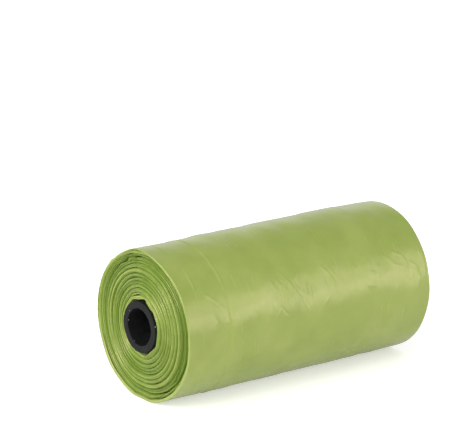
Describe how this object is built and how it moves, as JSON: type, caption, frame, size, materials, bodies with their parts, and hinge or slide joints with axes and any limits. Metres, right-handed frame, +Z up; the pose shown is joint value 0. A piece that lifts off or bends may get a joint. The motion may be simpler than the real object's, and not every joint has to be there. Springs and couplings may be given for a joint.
{
  "type": "roll of dog poop bags",
  "caption": "Small roll of green dog waste bags: a folded film strip wound tightly on a black plastic core tube.",
  "frame": {"origin": "centre of the core's bore, half way along it", "axes": "+X along the bore, from the end that faces the viewer to the far end; +Y to the back, where the loose end lies; +Z up, away from the flat spot that the roll rests on"},
  "size_m": [0.0632, 0.0307, 0.0304],
  "materials": {
    "core_plastic": "dark grey, nearly black, satin, with rough cut ends",
    "bag_film": "olive green film, satin"
  },
  "bodies": {
    "root": {"core_tube": "core_plastic", "wound_bags": "bag_film"}
  },
  "joints": []
}
